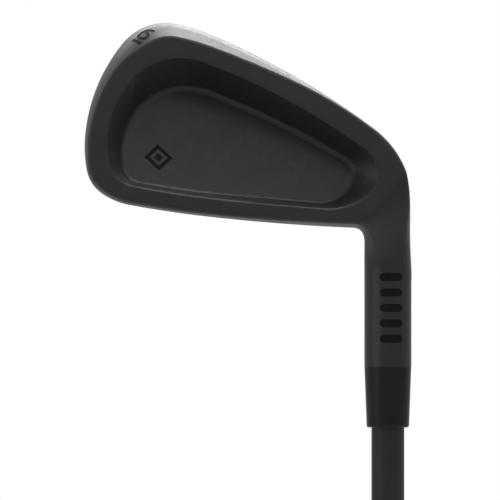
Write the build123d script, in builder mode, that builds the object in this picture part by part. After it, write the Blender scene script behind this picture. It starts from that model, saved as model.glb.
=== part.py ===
from build123d import *
import math
import os

os.makedirs("parts", exist_ok=True)

# Right-handed cavity-back 6-iron, standing on its butt end with the head up.
# Own frame: +Z runs up the shaft axis to the head, +Y is the target side of the
# face, -X is the toe side. The origin is the centre of the butt end. Millimetres.

# Club
club_length = 952.5       # butt end to the ground line of the sole, on the shaft axis
lie_angle = 62.0          # shaft to ground, degrees
loft_angle = 28.0         # face to the upright, degrees

# Blade
face_lead = 4.5           # face plane ahead of the shaft axis at the ground line
rim_depth = 15.6          # face to rim plane at the ground line under the shaft
rim_toe_gain = 0.10       # rim gets deeper towards the toe, mm per mm
rim_top_loss = 0.275      # and shallower up the face, mm per mm
belly_depth = 4.5         # widest outline behind the face
face_thickness = 3.0      # wall between the face and the cavity floor

# Edge profile round the blade
front_roll = 12.0         # radius in front of the widest outline
front_roll_angle = 30.0
camber_radius = 18.0      # sole camber behind it, down to the ground line
trail_radius = 6.0        # turn from there into the straight trailing face
trail_slope = 62.0        # slope of the trailing face, degrees
trail_depth = 16.0        # reach of the trailing face behind the widest outline
rim_edge_radius = 1.2
face_edge_radius = 0.8

# Hosel, bore and ferrule
hosel_radius = 6.73
hosel_start = 40.0        # below the ground line, along the shaft
hosel_length = 68.6       # ground line to the hosel mouth
bore_radius = 4.8
bore_depth = 32.0
ferrule_length = 17.4
ferrule_top_radius = 6.7
ferrule_end_radius = 6.05
ferrule_corner = 0.6

# Shaft
tip_radius = 4.7
butt_radius = 7.6
tip_bore_radius = 2.4
butt_bore_radius = 6.3
tip_insert = 30.0         # shaft inside the hosel
tip_parallel = 190.0
weight_collar = 1.4
weight_shank = 14.0
butt_parallel = 275.0     # height where the taper starts

# Grip
grip_length = 268.0
grip_mouth_radius = 8.6
cap_radius = 14.2
cap_thickness = 3.5
cap_seat = 7.0            # height of the shaft's butt end above the floor
cap_edge_radius = 1.5
tape_thickness = 0.25
tape_end_gap = 4.0
vent_radius = 2.0
shoulder_height = 1.5
mouth_lip = 3.0
ring_groove = 0.4
ring_heights = (254.0, 258.0)
# Radius and height of the grip at its usual gauge points
grip_gauges = [(12.3, 18.0), (11.7, 50.8), (10.65, 101.6), (9.8, 152.4), (9.1, 203.2)]

# Score lines
line_count = 12
line_pitch = 3.5
line_width = 0.9
line_depth = 0.45
line_toe_end = 60.0
line_heel_end = 13.0
first_line = 9.0

line_slant_height = 33.5  # the topline's height less the margin, at the ground line
line_slant = 0.487        # rise of the topline along the face
rim_clearance = 3.0
floor_fillet = 1.5
mouth_fillet = 0.8
bore_lead = 0.4

# Neck: inner point on the crotch, outer point on the heel (each to the toe, up) and
# how far the section has turned from the blade's shape to the round hosel.
neck_top = (-4.8, 30.6)
neck_bottom = (-10.8, 9.2)
neck_stations = [
    ((-6.6, 30.35), (-13.9, 12.9), 0.12),
    ((-8.4, 31.3), (-16.6, 17.0), 0.35),
    ((-9.9, 33.4), (-18.9, 21.5), 0.62),
    ((-11.3, 35.8), (-21.3, 26.2), 0.87),
]
neck_lead = 4.0           # straight end of the neck on the hosel
# The blade's section where the neck starts, at the crotch and at the heel
section_middle = (13.6, 6.0)   # depth of its middle behind the shaft axis
section_half = (2.0, 5.9)      # half its thickness

# Engravings and their paint fills
fill_depth = 0.35
fill_thickness = 0.2
number_share = 0.5475     # place of the number along the outline
number_slide = -0.45       # and along the trailing face, from where it starts
number_height = 5.4
number_width = 3.7
number_stroke = 1.05
hook_middle = (0.5, 0.24)  # of the stroke over the loop, as shares of its radius and height
hook_reach = 0.75          # end of that stroke, as a share of the loop's radius
underline_gap = 0.9
underline_share = 1.0      # thickness of the underline, as a share of the stroke
cutter_height = 2.1        # reach of a cutter outside the surface
number_sink = 3.0          # reach of the number's prism below its plane
ornament_toe = 53.5
ornament_height = 45.4
ornament_size = 8.2
ornament_turn = 45.0
ornament_line = 1.0
bar_count = 5
bar_pitch = 4.4
bar_length = 6.4
bar_width = 2.3
bar_side = 0.8            # off the hosel axis, to the heel
bar_drop = 43.0           # first bar below the ground line

near = 0.01               # distance within which two places count as one


# Frame of the head: F towards the toe on the ground line, U up from the ground,
# T to the target.
lie = math.radians(lie_angle)
tilt = math.radians(loft_angle)
to_toe = Vector(-math.sin(lie), 0, math.cos(lie))
to_sky = Vector(-math.cos(lie), 0, -math.sin(lie))
to_target = Vector(0, 1, 0)
heel_point = Vector(0, 0, club_length)
face_normal = to_target * math.cos(tilt) + to_sky * math.sin(tilt)


def head_point(toe, up, back):
    """A point by its distance to the toe, above the ground and behind the shaft axis."""
    return heel_point + to_toe * toe + to_sky * up - to_target * back


# Face plane: local x to the toe, y up the face, z into the blade.
face_plane = Plane(origin=head_point(0, 0, -face_lead), x_dir=to_toe, z_dir=face_normal * -1)
floor_plane = face_plane.offset(face_thickness)

# Rim plane: the flat back of the rim round the cavity.
rim_origin = face_plane.from_local_coords(Vector(0, 0, rim_depth))
rim_x = face_plane.from_local_coords(Vector(1, 0, rim_depth + rim_toe_gain)) - rim_origin
rim_y = face_plane.from_local_coords(Vector(0, 1, rim_depth - rim_top_loss)) - rim_origin
rim_plane = Plane(origin=rim_origin, x_dir=rim_x, z_dir=rim_x.cross(rim_y))
belly_plane = face_plane.offset(belly_depth)


def arc_chain(start, heading, turns, side):
    """Arcs that run on tangent to one another; each turn is a radius and an angle."""
    point = Vector(*start)
    tangent = Vector(math.cos(math.radians(heading)), math.sin(math.radians(heading)))
    for radius, angle in turns:
        arc = JernArc(start=point, tangent=tangent, radius=radius, arc_size=side * angle)
        point = arc @ 1
        tangent = arc % 1
    return point


# Outline of the widest section, clockwise: topline, toe, sole, heel.
outline_start = (-8, 33.6)
outline_heading = 28.9
outline_turns = [
    (555, 4.8),
    (283, 4.5),
    (18.4, 26.5),
    (10.8, 47.3),
    (39, 14.5),
    (58, 30.4),
    (15.6, 64.3),
    (64, 12.1),
    (205, 14.2),
    (27.4, 60.0),
]

# Cavity mouth on the rim plane and cavity floor, counter-clockwise from the topline.
mouth_start = (4.1, 37.9)
mouth_heading = 206.3
mouth_turns = [
    (18.0, 49.4),
    (6.6, 43.4),
    (9.5, 55.1),
    (178, 17.1),
    (18.4, 63.5),
    (28.9, 54.6),
    (8.3, 70.6),
    (317, 6.3),
]
floor_start = (8.1, 34.6)
floor_heading = 205.6
floor_turns = [
    (11.6, 58.3),
    (12.4, 11.2),
    (6.4, 82.3),
    (240, 9.7),
    (20.2, 87.9),
    (26.0, 30.3),
    (5.6, 74.0),
    (227, 6.3),
]


# ---------------------------------------------------------------- head: blade
with BuildLine() as flat_outline:
    arc_chain(outline_start, outline_heading, outline_turns, -1)
belly_path = flat_outline.line.moved(belly_plane.location).wires()[0]
path_start = belly_path @ 0
path_heading = belly_path % 0
profile_plane = Plane(
    origin=path_start,
    x_dir=belly_plane.z_dir.cross(path_heading),
    z_dir=path_heading,
)

# Side profile: x outwards, y away from the face. It is swept round the outline and
# takes away what lies outside the rolled edge.
profile_reach = 4.0
blade_reach = 30.0

# Plane of the number, tangent to the trailing face near the toe end of the sole.
trail_turn = math.radians(trail_slope)
trail_inset = camber_radius * (1 - math.cos(tilt)) + trail_radius * (math.cos(tilt) - math.cos(trail_turn))
trail_start = camber_radius * math.sin(tilt) + trail_radius * (math.sin(trail_turn) - math.sin(tilt))
number_spot = belly_path @ number_share
number_up = belly_path % number_share
number_out = belly_plane.z_dir.cross(number_up)
number_normal = number_out * math.cos(trail_turn) + belly_plane.z_dir * math.sin(trail_turn)
number_origin = (
    number_spot
    - number_out * (trail_inset + number_slide * math.sin(trail_turn))
    + belly_plane.z_dir * (trail_start + number_slide * math.cos(trail_turn))
)
number_plane = Plane(
    origin=number_origin, x_dir=number_up.cross(number_normal), z_dir=number_normal
)
ornament_plane = Plane(
    origin=floor_plane.from_local_coords(Vector(ornament_toe, ornament_height, 0)),
    x_dir=floor_plane.x_dir.rotate(Axis((0, 0, 0), floor_plane.z_dir), ornament_turn - lie_angle),
    z_dir=floor_plane.z_dir,
)


def engrave_number(plane):
    """The club number six with its underline, as faces on a plane."""
    loop_radius = number_width / 2
    loop_centre = (0, loop_radius - number_height / 2)
    ring_radius = loop_radius - number_stroke / 2
    with BuildSketch(plane) as glyph:
        with Locations(loop_centre):
            Circle(loop_radius)
            Circle(loop_radius - number_stroke, mode=Mode.SUBTRACT)
        with BuildLine():
            ThreePointArc(
                (-ring_radius, loop_centre[1]),
                (-ring_radius * hook_middle[0], number_height * hook_middle[1]),
                (loop_radius * hook_reach, number_height / 2 - number_stroke / 2),
            )
        trace(line_width=number_stroke)
        with Locations((0, -number_height / 2 - underline_gap)):
            Rectangle(number_width, number_stroke * underline_share)
    return glyph.sketch


def engrave_ornament(plane):
    """A square frame with a square inside."""
    with BuildSketch(plane) as frame:
        side = ornament_size / math.sqrt(2)
        Rectangle(side, side)
        Rectangle(side - 2 * ornament_line, side - 2 * ornament_line, mode=Mode.SUBTRACT)
        Rectangle(side / 3, side / 3)
    return frame.sketch


def engrave_bars(plane):
    """A column of round-ended bars."""
    with BuildSketch(plane) as bars:
        with Locations((bar_side, 0)):
            with GridLocations(1, bar_pitch, 1, bar_count):
                SlotOverall(bar_length, bar_width)
    return bars.sketch


# Plane of the bars, behind the hosel, seen from behind with the head up.
bar_plane = Plane(
    origin=(0, -hosel_radius * 2, club_length - bar_drop - bar_pitch * (bar_count - 1) / 2),
    x_dir=(1, 0, 0),
    z_dir=(0, -1, 0),
)


pocket_radius = hosel_radius - fill_depth
hosel_base = Plane.XY.offset(club_length - hosel_length)
hosel_straight = hosel_length - hosel_start

# Cutter of the bars: what lies outside the pockets' floor, which curves with the hosel.
with BuildPart() as bar_cutter:
    extrude(engrave_bars(bar_plane), amount=-hosel_radius * 2)
    with BuildSketch(hosel_base):
        Circle(hosel_radius * 2)
        Circle(pocket_radius, mode=Mode.SUBTRACT)
    extrude(amount=hosel_straight, mode=Mode.INTERSECT)

with BuildPart() as blank:
    with BuildSketch(face_plane):
        with BuildLine():
            heel_end = arc_chain(outline_start, outline_heading, outline_turns, -1)
            Line(heel_end, outline_start)
        make_face()
    extrude(amount=blade_reach)

    with BuildSketch(profile_plane):
        with BuildLine():
            front = JernArc((0, 0), (0, -1), front_roll, -front_roll_angle)
            camber = JernArc((0, 0), (0, 1), camber_radius, loft_angle)
            turn = JernArc(camber @ 1, camber % 1, trail_radius, trail_slope - loft_angle)
            trail_span = (trail_depth - (turn @ 1).Y) / math.cos(trail_turn)
            trail = PolarLine(turn @ 1, trail_span, direction=turn % 1)
            Line(trail @ 1, (profile_reach, trail_depth))
            Line((profile_reach, trail_depth), (profile_reach, (front @ 1).Y))
            Line((profile_reach, (front @ 1).Y), front @ 1)
        make_face()
    sweep(path=belly_path, mode=Mode.SUBTRACT)
    split(bisect_by=rim_plane, keep=Keep.BOTTOM)

    # The heel end is cut off where the neck takes over.
    cut_top = head_point(*neck_top, 0)
    cut_span = head_point(*neck_bottom, 0) - cut_top
    cut_plane = Plane(origin=cut_top, x_dir=to_target * -1, z_dir=cut_span.cross(to_target))
    split(bisect_by=cut_plane, keep=Keep.TOP)

    # Rounded edges of the rim and the face, short of the cut.
    def away_from_cut(edge):
        """True for an edge that doesn't lie in the heel cut."""
        return abs(cut_plane.to_local_coords(edge.center()).Z) > near

    def lies_in(plane):
        """A filter for the faces whose centre lies in a plane."""
        return lambda face: abs(plane.to_local_coords(face.center()).Z) < near

    flats = blank.faces().filter_by(GeomType.PLANE)
    fillet(flats.filter_by(lies_in(rim_plane)).edges().filter_by(away_from_cut), rim_edge_radius)
    flats = blank.faces().filter_by(GeomType.PLANE)
    fillet(flats.filter_by(lies_in(face_plane)).edges().filter_by(away_from_cut), face_edge_radius)

    # Neck: the cut section turns into the round hosel.
    cut_face = blank.faces().filter_by(GeomType.PLANE).sort_by(Axis(cut_top, cut_plane.z_dir))[0]
    cut_edges = cut_face.outer_wire().order_edges()
    nodes = []
    for index, edge in enumerate(cut_edges):
        previous = cut_edges[index - 1]
        starts_here = min((edge @ 0 - previous @ 0).length, (edge @ 0 - previous @ 1).length) < near
        nodes.append(cut_plane.to_local_coords(edge @ 0 if starts_here else edge @ 1))
        nodes.append(cut_plane.to_local_coords(edge @ 0.5))

    def neck_ring(plane, span, blend):
        """Closed ring on a neck plane, between the blade section and a circle."""
        points = []
        for node in nodes:
            share = node.Y / cut_span.length
            middle = section_middle[0] * (1 - share) + section_middle[1] * share
            half = section_half[0] * (1 - share) + section_half[1] * share
            angle = math.atan2(2 * share - 1, (node.X - middle) / half)
            back = (1 - blend) * node.X + blend * hosel_radius * math.cos(angle)
            along = (1 - blend) * share + blend * (1 + math.sin(angle)) / 2
            points.append(plane.from_local_coords(Vector(back, along * span, 0)))
        points.append(points[0])
        arcs = []
        for index in range(0, len(points) - 1, 2):
            arcs.append(ThreePointArc(points[index], points[index + 1], points[index + 2]))
        return Face(Wire(arcs))

    sections = [cut_face]
    for inner, outer, blend in neck_stations:
        inner_point = head_point(*inner, 0)
        span = head_point(*outer, 0) - inner_point
        plane = Plane(origin=inner_point, x_dir=to_target * -1, z_dir=span.cross(to_target))
        sections.append(neck_ring(plane, span.length, blend))
    for drop in (hosel_start, hosel_start + neck_lead):
        inner_point = Vector(-hosel_radius, 0, club_length - drop)
        plane = Plane(origin=inner_point, x_dir=to_target * -1, z_dir=(0, 0, 1))
        sections.append(neck_ring(plane, 2 * hosel_radius, 1.0))
    loft(sections=sections)
    with BuildSketch(hosel_base):
        Circle(hosel_radius)
    extrude(amount=hosel_straight - neck_lead)

    # Cavity: from its floor, parallel to the face, out to its mouth in the rim plane.
    with BuildSketch(floor_plane):
        with BuildLine():
            floor_end = arc_chain(floor_start, floor_heading, floor_turns, 1)
            Line(floor_end, floor_start)
        make_face()
    with BuildSketch(rim_plane) as mouth:
        with BuildLine():
            mouth_end = arc_chain(mouth_start, mouth_heading, mouth_turns, 1)
            Line(mouth_end, mouth_start)
        make_face()
    loft(ruled=True, mode=Mode.SUBTRACT)
    extrude(mouth.sketch, amount=rim_clearance, mode=Mode.SUBTRACT)

    flats = blank.faces().filter_by(GeomType.PLANE)
    fillet(flats.filter_by(lies_in(floor_plane)).edges(), floor_fillet)
    flats = blank.faces().filter_by(GeomType.PLANE)
    rim_face = flats.filter_by(lies_in(rim_plane))[0]
    fillet(rim_face.inner_wires()[0].edges(), mouth_fillet)

    # Hosel bore with its lead-in.
    with BuildSketch(hosel_base):
        Circle(bore_radius)
    extrude(amount=bore_depth, mode=Mode.SUBTRACT)
    bore_edge = blank.edges().filter_by(GeomType.CIRCLE).sort_by(Axis.Z)[:2].sort_by(SortBy.RADIUS)[0]
    chamfer(bore_edge, bore_lead)

    # Score lines, parallel to the ground line; the upper ones start further to the toe.
    for index in range(line_count):
        height = first_line + index * line_pitch
        heel_end_of_line = max(line_heel_end, (height - line_slant_height) / line_slant)
        length = line_toe_end - heel_end_of_line
        with BuildSketch(face_plane.offset(line_depth)):
            with Locations((line_toe_end - length / 2, height)):
                SlotOverall(length, line_width)
        extrude(amount=-line_depth * 2, mode=Mode.SUBTRACT)

# The number's pocket and its paint follow the curved sole: their floor and their top are
# the head's own surface, moved inwards.
number_prism_plane = number_plane.offset(-number_sink)
number_reach = number_sink + cutter_height
pocket_floor = blank.part.moved(Location(number_plane.z_dir * -fill_depth))
paint_top = blank.part.moved(Location(number_plane.z_dir * (fill_thickness - fill_depth)))

with BuildPart() as number_pocket:
    extrude(engrave_number(number_prism_plane), amount=number_reach)
    add(pocket_floor, mode=Mode.SUBTRACT)

# ---------------------------------------------------------------- head: engravings
with BuildPart() as head:
    add(blank.part)
    add(number_pocket.part, mode=Mode.SUBTRACT)
    ornament_cut = engrave_ornament(ornament_plane.offset(-fill_depth))
    extrude(ornament_cut, amount=cutter_height, mode=Mode.SUBTRACT)
    add(bar_cutter.part, mode=Mode.SUBTRACT)
head.part.label = "head"
export_step(head.part, "parts/head.step")

# ---------------------------------------------------------------- paint fills
with BuildPart() as number_fill:
    extrude(engrave_number(number_prism_plane), amount=number_reach)
    add(paint_top, mode=Mode.INTERSECT)
    add(pocket_floor, mode=Mode.SUBTRACT)
number_fill.part.label = "number_fill"
export_step(number_fill.part, "parts/number_fill.step")

with BuildPart() as cavity_mark_fill:
    extrude(engrave_ornament(ornament_plane.offset(-fill_depth)), amount=fill_thickness)
cavity_mark_fill.part.label = "cavity_mark_fill"
export_step(cavity_mark_fill.part, "parts/cavity_mark_fill.step")

with BuildPart() as hosel_mark_fill:
    extrude(engrave_bars(bar_plane), amount=-hosel_radius * 2)
    with BuildSketch(hosel_base):
        Circle(pocket_radius + fill_thickness)
        Circle(pocket_radius, mode=Mode.SUBTRACT)
    extrude(amount=hosel_straight, mode=Mode.INTERSECT)
hosel_mark_fill.part.label = "hosel_mark_fill"
export_step(hosel_mark_fill.part, "parts/hosel_mark_fill.step")

# ---------------------------------------------------------------- ferrule
hosel_mouth = club_length - hosel_length
ferrule_end = hosel_mouth - ferrule_length
with BuildPart() as ferrule:
    with BuildSketch(Plane.XZ):
        with BuildLine():
            Polyline(
                (tip_radius, ferrule_end),
                (ferrule_end_radius, ferrule_end),
                (ferrule_top_radius, hosel_mouth),
                (tip_radius, hosel_mouth),
                close=True,
            )
        make_face()
    revolve(axis=Axis.Z)
    rim = ferrule.edges().filter_by(GeomType.CIRCLE).sort_by(Axis.Z)[:2].sort_by(SortBy.RADIUS)[-1]
    fillet(rim, ferrule_corner)
ferrule.part.label = "ferrule"
export_step(ferrule.part, "parts/ferrule.step")

# ---------------------------------------------------------------- shaft
tip_height = hosel_mouth + tip_insert
tip_taper_start = tip_height - tip_parallel
with BuildPart() as shaft:
    with BuildSketch(Plane.XZ):
        with BuildLine():
            Polyline(
                (butt_bore_radius, cap_seat),
                (butt_radius, cap_seat),
                (butt_radius, butt_parallel),
                (tip_radius, tip_taper_start),
                (tip_radius, tip_height),
                (tip_bore_radius, tip_height),
                (tip_bore_radius, tip_taper_start),
                (butt_bore_radius, butt_parallel),
                close=True,
            )
        make_face()
    revolve(axis=Axis.Z)
shaft.part.label = "shaft"
export_step(shaft.part, "parts/shaft.step")

# ---------------------------------------------------------------- bond in the hosel
with BuildPart() as epoxy_bond:
    with BuildSketch(Plane.XY.offset(hosel_mouth + bore_lead)):
        Circle(bore_radius)
        Circle(tip_radius, mode=Mode.SUBTRACT)
    extrude(amount=tip_insert - bore_lead)
epoxy_bond.part.label = "epoxy_bond"
export_step(epoxy_bond.part, "parts/epoxy_bond.step")

# ---------------------------------------------------------------- tip weight
with BuildPart() as tip_weight:
    with BuildSketch(Plane.XY.offset(tip_height)):
        Circle(tip_radius)
    extrude(amount=weight_collar)
    with BuildSketch(Plane.XY.offset(tip_height)):
        Circle(tip_bore_radius)
    extrude(amount=-weight_shank)
tip_weight.part.label = "tip_weight"
export_step(tip_weight.part, "parts/tip_weight.step")

# ---------------------------------------------------------------- grip
tape_radius = butt_radius + tape_thickness
with BuildPart() as grip_tape:
    with BuildSketch(Plane.XY.offset(cap_seat)):
        Circle(tape_radius)
        Circle(butt_radius, mode=Mode.SUBTRACT)
    extrude(amount=grip_length - cap_seat - tape_end_gap)
grip_tape.part.label = "grip_tape"
export_step(grip_tape.part, "parts/grip_tape.step")

# Sleeve: the outline runs from the cap shoulder to the mouth, through the radii at
# the gauge heights of a round grip.
with BuildPart() as grip_sleeve:
    with BuildSketch(Plane.XZ):
        with BuildLine():
            shoulder = Line((cap_radius, cap_thickness), (cap_radius, cap_thickness + shoulder_height))
            swell = Spline(
                shoulder @ 1,
                *grip_gauges,
                (grip_mouth_radius, grip_length - mouth_lip),
                tangents=[(-1, 1), (0, 1)],
                tangent_scalars=(0.4, 1),
            )
            Line(swell @ 1, (grip_mouth_radius, grip_length))
            Line((grip_mouth_radius, grip_length), (tape_radius, grip_length))
            Line((tape_radius, grip_length), (tape_radius, cap_thickness))
            Line((tape_radius, cap_thickness), shoulder @ 0)
        make_face()
    revolve(axis=Axis.Z)
    for height in ring_heights:
        with BuildSketch(Plane.XY.offset(height)):
            Circle(cap_radius)
            Circle(grip_mouth_radius - ring_groove, mode=Mode.SUBTRACT)
        extrude(amount=ring_groove * 2, mode=Mode.SUBTRACT)
grip_sleeve.part.label = "grip_sleeve"
export_step(grip_sleeve.part, "parts/grip_sleeve.step")

with BuildPart() as grip_cap:
    with BuildSketch(Plane.XY):
        Circle(cap_radius)
    extrude(amount=cap_thickness)
    fillet(grip_cap.edges().sort_by(Axis.Z)[0], cap_edge_radius)
    with BuildSketch(Plane.XY.offset(cap_thickness)):
        Circle(tape_radius)
    extrude(amount=cap_seat - cap_thickness)
    with BuildSketch(Plane.XY):
        Circle(vent_radius)
    extrude(amount=cap_seat, mode=Mode.SUBTRACT)
grip_cap.part.label = "grip_cap"
export_step(grip_cap.part, "parts/grip_cap.step")
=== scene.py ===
import math
import bmesh
import bpy
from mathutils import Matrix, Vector


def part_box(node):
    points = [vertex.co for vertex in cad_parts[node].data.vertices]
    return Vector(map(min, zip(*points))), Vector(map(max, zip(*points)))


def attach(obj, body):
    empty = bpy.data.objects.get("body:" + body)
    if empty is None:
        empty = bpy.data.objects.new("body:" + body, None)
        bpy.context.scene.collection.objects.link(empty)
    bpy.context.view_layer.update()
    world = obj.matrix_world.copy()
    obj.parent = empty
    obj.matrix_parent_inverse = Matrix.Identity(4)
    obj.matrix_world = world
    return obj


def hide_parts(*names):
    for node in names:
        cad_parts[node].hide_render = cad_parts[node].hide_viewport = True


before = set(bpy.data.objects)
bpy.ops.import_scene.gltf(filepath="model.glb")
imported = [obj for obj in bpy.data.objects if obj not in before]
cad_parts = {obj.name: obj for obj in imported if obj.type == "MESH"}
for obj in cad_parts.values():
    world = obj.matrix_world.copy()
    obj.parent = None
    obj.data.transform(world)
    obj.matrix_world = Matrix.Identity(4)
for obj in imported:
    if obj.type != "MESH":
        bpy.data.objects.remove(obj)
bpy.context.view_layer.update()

MM = 0.001

# The camera looks level along +Y at the back of the head, through a long lens.
SENSOR = 36.0                             # millimetres, as Blender counts sensor and lens
VIEW_WIDTH = 142.9 * MM                   # seen across the picture at the shaft's axis
VIEW_DISTANCE = 3.0
VIEW_CENTRE = (-39.4 * MM, 917.2 * MM)    # x and z
CLIP_NEAR = 0.01
CLIP_FAR = 100.0

# Softboxes: name, place from the middle of the head, side and power. The two overhead
# ones light the sole past its widest line, the front one the floor of the cavity, and
# the one beside the toe the flanks of the hosel and the shaft that face it.
LAMPS = [
    ("overhead_heel", (0.3, 0.35, 0.9), 0.9, 18.0),
    ("overhead_toe", (0.0, 0.5, 0.85), 1.1, 20.0),
    ("front", (0.45, -0.65, 0.85), 0.8, 1.8),
    ("toe_side", (-1.1, -0.6, 0.2), 0.7, 3.0),
]
BACKDROP_SEEN = 1.0                       # strength of the backdrop to the camera
BACKDROP_LIGHT = 0.70                     # and to everything else
FLOOR_REACH = 30.0

# Noise stays mostly between these two values, so they mark the ends of what it drives.
NOISE_LOW = 0.3
NOISE_HIGH = 0.7
RING_DISTORTION = 0.6

# Moulded pattern of the grip
GRIP_ROWS = 420
GRIP_COLUMNS = 144
PATTERN_DEPTH = 0.5 * MM
PATTERN_PITCH = 6.0 * MM
PATTERN_STARTS = 9
PATTERN_MARGIN = 9.0 * MM
GROOVE_SHARE = 0.2                        # half a groove's width, as a share of the pitch
HEIGHT_DIGITS = 5                         # of metres, so that a ring's vertices share one height


# ------------------------------------------------------------------ materials
class Surface:
    """A Principled material and the few nodes that its detail is made of."""

    def __init__(self, name, colour, roughness, **sockets):
        self.material = bpy.data.materials.new(name)
        self.material.use_nodes = True
        self.tree = self.material.node_tree
        self.shader = self.tree.nodes["Principled BSDF"]
        self.shader.inputs["Base Color"].default_value = (*colour, 1.0)
        self.shader.inputs["Roughness"].default_value = roughness
        for socket, value in sockets.items():
            self.shader.inputs[socket.replace("_", " ")].default_value = value
        self.place = self.node("ShaderNodeTexCoord").outputs["Object"]

    def node(self, kind, **settings):
        """A new node with its settings."""
        new = self.tree.nodes.new(kind)
        for setting, value in settings.items():
            setattr(new, setting, value)
        return new

    def join(self, output, socket):
        """A link from an output to an input."""
        self.tree.links.new(output, socket)

    def noise(self, size, detail=2.0, stretch=(1.0, 1.0, 1.0)):
        """Noise with features of about that size in metres; an axis scaled up has finer ones."""
        mapping = self.node("ShaderNodeMapping")
        mapping.inputs["Scale"].default_value = stretch
        self.join(self.place, mapping.inputs["Vector"])
        texture = self.node("ShaderNodeTexNoise")
        texture.inputs["Scale"].default_value = 1.0 / size
        texture.inputs["Detail"].default_value = detail
        self.join(mapping.outputs["Vector"], texture.inputs["Vector"])
        return texture.outputs["Fac"]

    def rings(self, pitch):
        """Fine turned rings round the shaft axis, as bands repeat every pi / (10 * scale)."""
        texture = self.node("ShaderNodeTexWave", wave_type="BANDS", bands_direction="Z")
        texture.inputs["Scale"].default_value = math.pi / (10 * pitch)
        texture.inputs["Distortion"].default_value = RING_DISTORTION
        self.join(self.place, texture.inputs["Vector"])
        return texture.outputs["Fac"]

    def vary_roughness(self, factor, low, high):
        """Roughness between two values."""
        spread = self.node("ShaderNodeMapRange")
        spread.inputs["From Min"].default_value = NOISE_LOW
        spread.inputs["From Max"].default_value = NOISE_HIGH
        spread.inputs["To Min"].default_value = low
        spread.inputs["To Max"].default_value = high
        self.join(factor, spread.inputs["Value"])
        self.join(spread.outputs["Result"], self.shader.inputs["Roughness"])

    def vary_colour(self, factor, first, second):
        """Colour between two tones."""
        ramp = self.node("ShaderNodeValToRGB")
        start, end = ramp.color_ramp.elements
        start.position, start.color = NOISE_LOW, (*first, 1.0)
        end.position, end.color = NOISE_HIGH, (*second, 1.0)
        self.join(factor, ramp.inputs["Fac"])
        self.join(ramp.outputs["Color"], self.shader.inputs["Base Color"])

    def relief(self, factor, height):
        """A bump of that height in metres."""
        bump = self.node("ShaderNodeBump")
        bump.inputs["Distance"].default_value = height
        bump.inputs["Strength"].default_value = 1.0
        self.join(factor, bump.inputs["Height"])
        self.join(bump.outputs["Normal"], self.shader.inputs["Normal"])


def coated_steel():
    """Matte black coating over steel, slightly uneven in tone and sheen."""
    surface = Surface("coated_steel", (0.021, 0.021, 0.0215), 0.42, Metallic=0.45, Specular_IOR_Level=0.28)
    surface.vary_colour(surface.noise(7 * MM, 3.0), (0.0198, 0.0198, 0.0203), (0.0222, 0.0222, 0.0228))
    surface.vary_roughness(surface.noise(1.5 * MM), 0.38, 0.46)
    surface.relief(surface.noise(0.35 * MM, 3.0), 0.012 * MM)
    return surface.material


def turned_plastic():
    """Satin black plastic with fine turning marks."""
    surface = Surface("turned_plastic", (0.008, 0.008, 0.0083), 0.36, Specular_IOR_Level=0.13)
    surface.vary_colour(surface.noise(4 * MM), (0.0072, 0.0072, 0.0075), (0.0088, 0.0088, 0.0092))
    surface.vary_roughness(surface.noise(2 * MM, stretch=(1, 1, 6)), 0.30, 0.38)
    surface.relief(surface.rings(0.25 * MM), 0.003 * MM)
    return surface.material


def shaft_paint():
    """Black paint with a faint lengthwise flow."""
    surface = Surface("shaft_paint", (0.015, 0.015, 0.0155), 0.42, Specular_IOR_Level=0.17)
    surface.vary_colour(surface.noise(5 * MM), (0.013, 0.013, 0.0135), (0.017, 0.017, 0.0175))
    surface.vary_roughness(surface.noise(3 * MM, stretch=(1, 1, 0.2)), 0.42, 0.50)
    surface.relief(surface.noise(0.8 * MM, stretch=(1, 1, 0.3)), 0.004 * MM)
    return surface.material


def rubber(name, tone):
    """Moulded rubber with a dusty, cloudy tone."""
    surface = Surface(name, (tone, tone, tone), 0.78, Specular_IOR_Level=0.35)
    dusty = (tone * 1.5, tone * 1.5, tone * 1.46)
    surface.vary_colour(surface.noise(9 * MM, 4.0), (tone, tone, tone), dusty)
    surface.vary_roughness(surface.noise(3 * MM), 0.70, 0.86)
    surface.relief(surface.noise(0.45 * MM, 4.0), 0.03 * MM)
    return surface.material


def mark_paint():
    """Flat black paint in the engravings."""
    surface = Surface("mark_paint", (0.004, 0.004, 0.004), 0.55, Specular_IOR_Level=0.08)
    surface.vary_colour(surface.noise(1 * MM), (0.0035, 0.0035, 0.0035), (0.006, 0.006, 0.006))
    surface.relief(surface.noise(0.3 * MM), 0.01 * MM)
    return surface.material


def brass():
    """Turned brass."""
    surface = Surface("brass", (0.75, 0.52, 0.24), 0.3, Metallic=1.0)
    surface.vary_colour(surface.noise(3 * MM), (0.70, 0.48, 0.21), (0.78, 0.56, 0.27))
    surface.vary_roughness(surface.noise(1 * MM), 0.25, 0.36)
    surface.relief(surface.rings(0.2 * MM), 0.004 * MM)
    return surface.material


def cured_epoxy():
    """Yellowish glue, cloudy and slightly uneven."""
    surface = Surface("cured_epoxy", (0.5, 0.42, 0.22), 0.3, Transmission_Weight=0.2)
    surface.vary_colour(surface.noise(2 * MM, 4.0), (0.45, 0.37, 0.18), (0.56, 0.48, 0.28))
    surface.relief(surface.noise(0.6 * MM, 4.0), 0.03 * MM)
    return surface.material


def paper_tape():
    """Creped masking tape."""
    surface = Surface("paper_tape", (0.66, 0.58, 0.42), 0.85)
    surface.vary_colour(surface.noise(4 * MM, 5.0), (0.60, 0.52, 0.36), (0.70, 0.62, 0.46))
    surface.relief(surface.noise(0.6 * MM, 4.0, stretch=(1, 1, 4)), 0.04 * MM)
    return surface.material


def dress(name, material):
    """Gives a CAD node its material."""
    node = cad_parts[name]
    if not node.material_slots:
        node.data.materials.append(material)
    for material_slot in node.material_slots:
        material_slot.material = material


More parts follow.
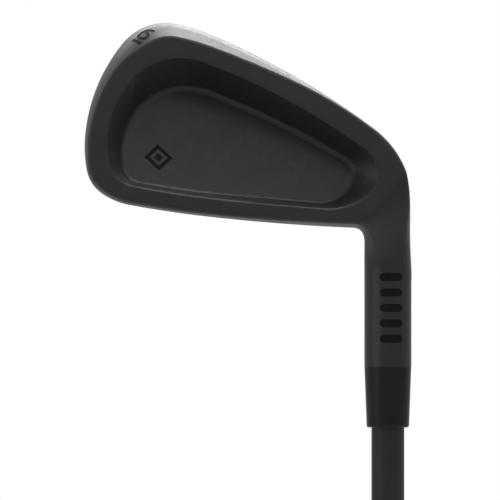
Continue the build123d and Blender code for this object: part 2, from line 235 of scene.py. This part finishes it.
rubber_grip = rubber("rubber_grip", 0.018)
black_marks = mark_paint()
dress("head", coated_steel())
dress("ferrule", turned_plastic())
dress("shaft", shaft_paint())
dress("grip_cap", rubber("rubber_cap", 0.022))
dress("grip_sleeve", rubber_grip)
dress("grip_tape", paper_tape())
dress("epoxy_bond", cured_epoxy())
dress("tip_weight", brass())
dress("number_fill", black_marks)
dress("hosel_mark_fill", black_marks)
dress("cavity_mark_fill", black_marks)


# ------------------------------------------------------------------ grip
def outer_profile(name):
    """Heights and outer radii of a turned CAD node, from the butt end up."""
    widest = {}
    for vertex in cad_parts[name].data.vertices:
        height = round(vertex.co.z, HEIGHT_DIGITS)
        radius = math.hypot(vertex.co.x, vertex.co.y)
        widest[height] = max(widest.get(height, 0.0), radius)
    return sorted(widest.items())


def radius_at(profile, height):
    """Outer radius at a height, straight between the profile's points."""
    for (low, low_radius), (high, high_radius) in zip(profile, profile[1:]):
        if height <= high:
            share = (height - low) / (high - low)
            return low_radius + share * (high_radius - low_radius)
    return profile[-1][1]


def groove(phase):
    """Depth, from 0 to 1, of a groove with rounded sides where the phase is a whole number."""
    distance = abs(phase - round(phase)) / GROOVE_SHARE
    if distance >= 1.0:
        return 0.0
    return 0.5 + 0.5 * math.cos(math.pi * distance)


def pattern_depth(height, angle, low, high):
    """Two families of helical grooves that cross, fading out towards the smooth ends."""
    edge = min(height - low, high - height) / PATTERN_MARGIN
    fade = max(0.0, min(1.0, edge))
    turn = PATTERN_STARTS * angle / (2 * math.pi)
    rise = height / PATTERN_PITCH
    return PATTERN_DEPTH * fade * max(groove(rise + turn), groove(rise - turn))


def add_ring(mesh, height, angles, radii):
    """A ring of new vertices at a height, one for each angle and its radius."""
    return [
        mesh.verts.new((radius * math.cos(angle), radius * math.sin(angle), height))
        for angle, radius in zip(angles, radii)
    ]


def moulded_grip():
    """The grip's sleeve with its crossed grooves, in place of the plain one."""
    profile = outer_profile("grip_sleeve")
    low, high = profile[0][0], profile[-1][0]
    # The tape's faceted mesh reaches slightly less far along y than x; the bore lies between the two.
    tape_x, tape_y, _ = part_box("grip_tape")[1]
    bore_radius = math.hypot(tape_x, tape_y) / math.sqrt(2)
    angles = [2 * math.pi * column / GRIP_COLUMNS for column in range(GRIP_COLUMNS)]
    mesh = bmesh.new()
    rings = []
    for row in range(GRIP_ROWS + 1):
        height = low + (high - low) * row / GRIP_ROWS
        plain = radius_at(profile, height)
        radii = [plain - pattern_depth(height, angle, low, high) for angle in angles]
        rings.append(add_ring(mesh, height, angles, radii))
    for height in (high, low):
        rings.append(add_ring(mesh, height, angles, [bore_radius] * GRIP_COLUMNS))
    for index, ring in enumerate(rings):
        above = rings[(index + 1) % len(rings)]
        for column in range(GRIP_COLUMNS):
            beside = (column + 1) % GRIP_COLUMNS
            face = mesh.faces.new((ring[column], ring[beside], above[beside], above[column]))
            face.smooth = index < GRIP_ROWS    # the outside; both ends and the bore stay flat
    data = bpy.data.meshes.new("moulded_grip")
    mesh.to_mesh(data)
    mesh.free()
    sleeve = bpy.data.objects.new("moulded_grip", data)
    bpy.context.scene.collection.objects.link(sleeve)
    data.materials.append(rubber_grip)
    return sleeve


grip = moulded_grip()
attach(grip, "root")
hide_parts("grip_sleeve")


# ------------------------------------------------------------------ studio
def floor():
    """A plain pale floor under the butt end."""
    data = bpy.data.meshes.new("floor")
    corners = [(x * FLOOR_REACH, y * FLOOR_REACH, 0) for x, y in ((-1, -1), (1, -1), (1, 1), (-1, 1))]
    data.from_pydata(corners, [], [(0, 1, 2, 3)])
    ground = bpy.data.objects.new("floor", data)
    bpy.context.scene.collection.objects.link(ground)
    surface = Surface("floor", (0.8, 0.8, 0.8), 0.7)
    surface.vary_colour(surface.noise(0.4), (0.79, 0.79, 0.79), (0.81, 0.81, 0.81))
    data.materials.append(surface.material)


def soft_light(name, place, target, size, power):
    """A square softbox that the camera doesn't see."""
    data = bpy.data.lights.new(name, "AREA")
    data.shape = "SQUARE"
    data.size = size
    data.energy = power
    lamp = bpy.data.objects.new(name, data)
    lamp.location = place
    lamp.rotation_euler = (Vector(target) - Vector(place)).to_track_quat("-Z", "Y").to_euler()
    lamp.visible_camera = False
    bpy.context.scene.collection.objects.link(lamp)


def white_background(node, strength):
    """Makes a background node white, of that strength, and gives its output."""
    node.inputs["Color"].default_value = (1, 1, 1, 1)
    node.inputs["Strength"].default_value = strength
    return node.outputs["Background"]


def backdrop(brightness, lighting):
    """A white backdrop to the camera and an even dimmer light to the object."""
    world = bpy.data.worlds.new("studio")
    world.use_nodes = True
    tree = world.node_tree
    seen = white_background(tree.nodes["Background"], brightness)
    lit = white_background(tree.nodes.new("ShaderNodeBackground"), lighting)
    mix = tree.nodes.new("ShaderNodeMixShader")
    path = tree.nodes.new("ShaderNodeLightPath")
    tree.links.new(path.outputs["Is Camera Ray"], mix.inputs["Fac"])
    tree.links.new(lit, mix.inputs[1])
    tree.links.new(seen, mix.inputs[2])
    tree.links.new(mix.outputs["Shader"], tree.nodes["World Output"].inputs["Surface"])
    bpy.context.scene.world = world


floor()
backdrop(BACKDROP_SEEN, BACKDROP_LIGHT)
head_low, head_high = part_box("head")
head_centre = (Vector(head_low) + Vector(head_high)) / 2
for lamp_name, offset, lamp_size, lamp_power in LAMPS:
    soft_light(lamp_name, head_centre + Vector(offset), head_centre, lamp_size, lamp_power)
bpy.context.scene.view_settings.view_transform = "Standard"

camera_data = bpy.data.cameras.new("camera")
camera_data.sensor_width = SENSOR
camera_data.lens = SENSOR * VIEW_DISTANCE / VIEW_WIDTH
camera_data.clip_start = CLIP_NEAR
camera_data.clip_end = CLIP_FAR
camera = bpy.data.objects.new("camera", camera_data)
camera.location = (VIEW_CENTRE[0], -VIEW_DISTANCE, VIEW_CENTRE[1])
camera.rotation_euler = (math.radians(90), 0, 0)
bpy.context.scene.collection.objects.link(camera)
bpy.context.scene.camera = camera
